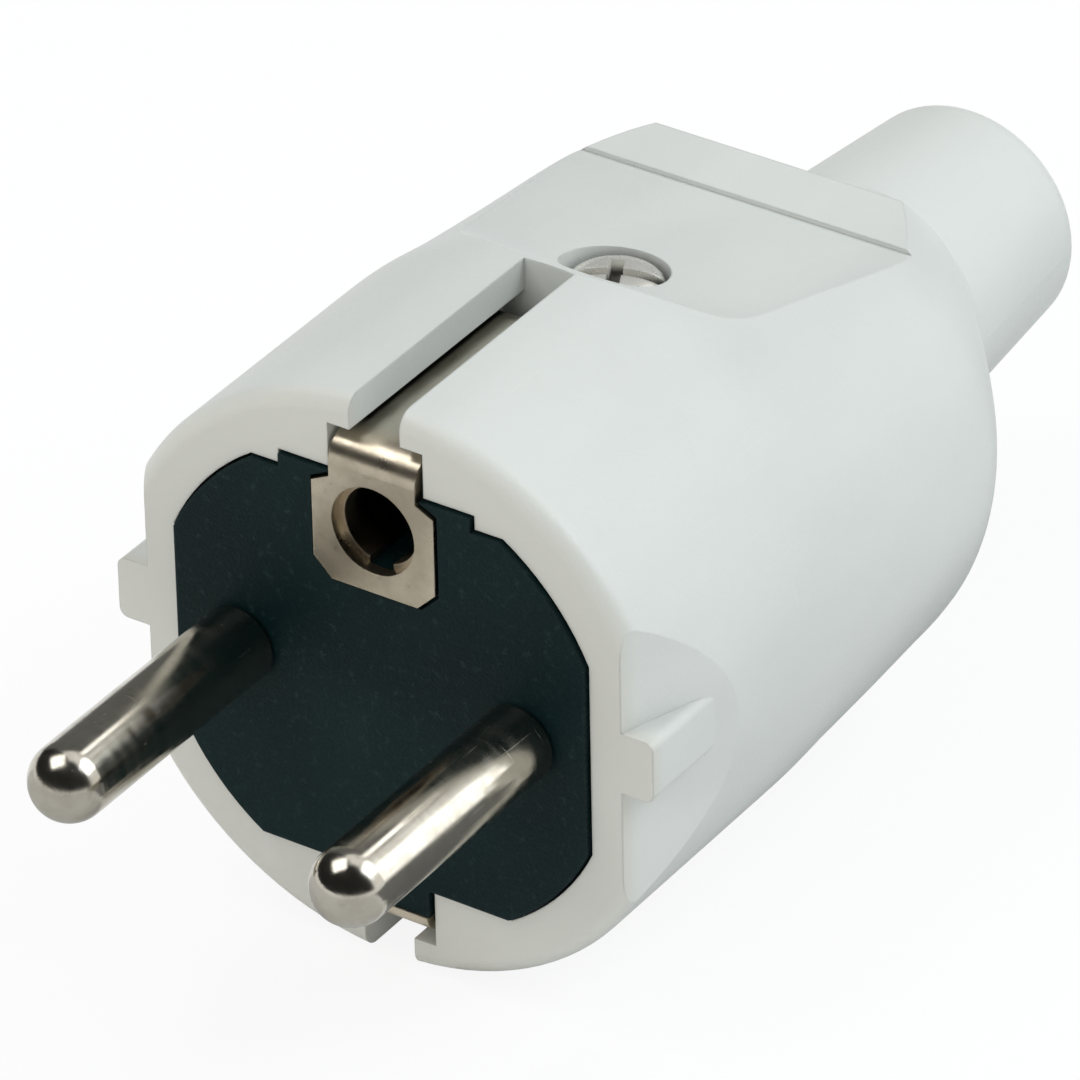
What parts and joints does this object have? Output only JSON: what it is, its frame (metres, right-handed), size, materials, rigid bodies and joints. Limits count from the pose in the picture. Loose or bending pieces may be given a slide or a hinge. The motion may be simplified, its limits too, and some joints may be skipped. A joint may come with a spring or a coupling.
{
  "type": "electrical plug",
  "caption": "Rewirable earthed two-pin mains plug with round pins, earth pin receiver, side earth contacts, a rounded hood and a tapered cord spout.",
  "frame": {"origin": "centre of the engagement face, midway between the two pins", "axes": "+Y from the engagement face back along the plug to the cord outlet, +Z towards the earth receiver and the housing screw, +X to the right as seen from the pins"},
  "size_m": [0.0376, 0.0832, 0.0374],
  "materials": {
    "hood_plastic": "fine moulded satin, light grey",
    "carrier_plastic": "moulded satin, black",
    "nickel_brass": "nickel plated, polished",
    "earth_nickel": "nickel plated, satin",
    "spring_bronze": "rolled strip",
    "terminal_brass": "bare",
    "screw_steel": "nickel plated",
    "washer_steel": "zinc plated",
    "nut_steel": "zinc plated",
    "clamp_plastic": "moulded satin, black"
  },
  "bodies": {
    "root": {"housing": "hood_plastic", "contact_carrier": "carrier_plastic", "pin_left": "nickel_brass", "pin_right": "nickel_brass", "earth_bow": "earth_nickel", "receiver_sleeve": "spring_bronze", "terminal_plate_left": "terminal_brass", "terminal_plate_right": "terminal_brass", "terminal_washer_left": "washer_steel", "terminal_washer_right": "washer_steel", "terminal_screw_left": "screw_steel", "terminal_screw_right": "screw_steel", "earth_washer": "washer_steel", "earth_screw": "screw_steel", "housing_screw": "screw_steel", "housing_nut": "nut_steel", "cord_clamp_bar": "clamp_plastic", "cord_clamp_screw_left": "screw_steel", "cord_clamp_screw_right": "screw_steel", "cord_clamp_nut_left": "nut_steel", "cord_clamp_nut_right": "nut_steel"}
  },
  "joints": []
}
